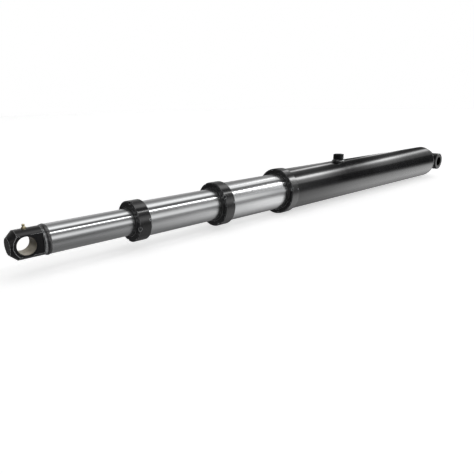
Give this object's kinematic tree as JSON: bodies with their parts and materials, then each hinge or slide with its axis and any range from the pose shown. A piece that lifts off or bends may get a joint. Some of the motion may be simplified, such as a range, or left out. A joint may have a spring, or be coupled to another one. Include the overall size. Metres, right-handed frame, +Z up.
{
  "type": "telescopic hydraulic cylinder",
  "caption": "Single-acting telescopic hydraulic cylinder: black barrel with a top port and rear cross tube, chromed nested stages with notched gland nuts, and a rod eye with flats.",
  "frame": {"origin": "centre of the pin bore in the base cross tube", "axes": "+X from the base pin to the rod eye, the way the cylinder extends; +Y along both pin bores; +Z up, through the oil port"},
  "size_m": [1.7371, 0.13, 0.146],
  "materials": {
    "barrel_paint": "gloss black enamel over drawn steel tube",
    "nut_paint": "semi-gloss black enamel over turned steel",
    "eye_paint": "semi-gloss black enamel over milled steel bar",
    "weld_paint": "black enamel over a rippled weld bead",
    "chrome": "hard chrome, ground and polished, with faint drawing lines",
    "brass": "turned brass-coloured zinc plate",
    "pin_bush_bronze": "bored, satin bronze-backed bush",
    "guide_bronze": "turned bronze",
    "bearing_resin": "machined fabric-reinforced resin",
    "seal_polyurethane": "moulded polyurethane",
    "rubber": "moulded nitrile rubber",
    "steel": "turned steel, lightly oiled"
  },
  "bodies": {
    "barrel": {"barrel_tube": "barrel_paint", "base_cap": "barrel_paint", "base_weld": "weld_paint", "base_cross_tube": "barrel_paint", "cross_tube_weld": "weld_paint", "cross_tube_bushes": "pin_bush_bronze", "base_grease_nipple": "brass", "port_boss": "barrel_paint", "port_weld": "weld_paint", "barrel_head_nut": "nut_paint", "barrel_guide_bush": "guide_bronze", "barrel_seal": "seal_polyurethane", "barrel_wiper": "rubber", "barrel_head_oring": "rubber", "barrel_lock_screw": "steel"},
    "stage_1_bearing": {"stage_1_bearing": "bearing_resin"},
    "stage_1": {"stage_1_tube": "chrome", "stage_1_stop_ring": "steel", "stage_1_retaining_ring": "steel", "stage_1_inner_stop": "steel", "stage_1_gland_nut": "nut_paint", "stage_1_guide_bush": "guide_bronze", "stage_1_seal": "seal_polyurethane", "stage_1_wiper": "rubber", "stage_1_oring": "rubber", "stage_1_lock_screw": "steel"},
    "stage_2_bearing": {"stage_2_bearing": "bearing_resin"},
    "stage_2": {"stage_2_tube": "chrome", "stage_2_stop_ring": "steel", "stage_2_retaining_ring": "steel", "stage_2_inner_stop": "steel", "stage_2_gland_nut": "nut_paint", "stage_2_guide_bush": "guide_bronze", "stage_2_seal": "seal_polyurethane", "stage_2_wiper": "rubber", "stage_2_oring": "rubber", "stage_2_lock_screw": "steel"},
    "plunger_bearing": {"plunger_bearing": "bearing_resin"},
    "plunger": {"plunger_tube": "chrome", "plunger_stop_ring": "steel", "plunger_retaining_ring": "steel", "plunger_end_plug": "steel", "plunger_plug_oring": "rubber", "rod_eye": "eye_paint", "rod_eye_weld": "weld_paint", "rod_eye_bush": "pin_bush_bronze", "rod_grease_nipple": "brass"}
  },
  "joints": [
    {"name": "stage_1_slide", "type": "slide", "parent": "barrel", "child": "stage_1_bearing", "axis": [1, 0, 0], "range_m": [-0.199, 0.601]},
    {"name": "stage_1_turn", "type": "hinge", "parent": "stage_1_bearing", "child": "stage_1", "pos_m": [0, 0, 0], "axis": [1, 0, 0], "continuous": true},
    {"name": "stage_2_slide", "type": "slide", "parent": "stage_1", "child": "stage_2_bearing", "axis": [1, 0, 0], "range_m": [-0.197, 0.645]},
    {"name": "stage_2_turn", "type": "hinge", "parent": "stage_2_bearing", "child": "stage_2", "pos_m": [0, 0, 0], "axis": [1, 0, 0], "continuous": true},
    {"name": "plunger_slide", "type": "slide", "parent": "stage_2", "child": "plunger_bearing", "axis": [1, 0, 0], "range_m": [-0.171, 0.712]},
    {"name": "plunger_turn", "type": "hinge", "parent": "plunger_bearing", "child": "plunger", "pos_m": [0, 0, 0], "axis": [1, 0, 0], "continuous": true}
  ]
}
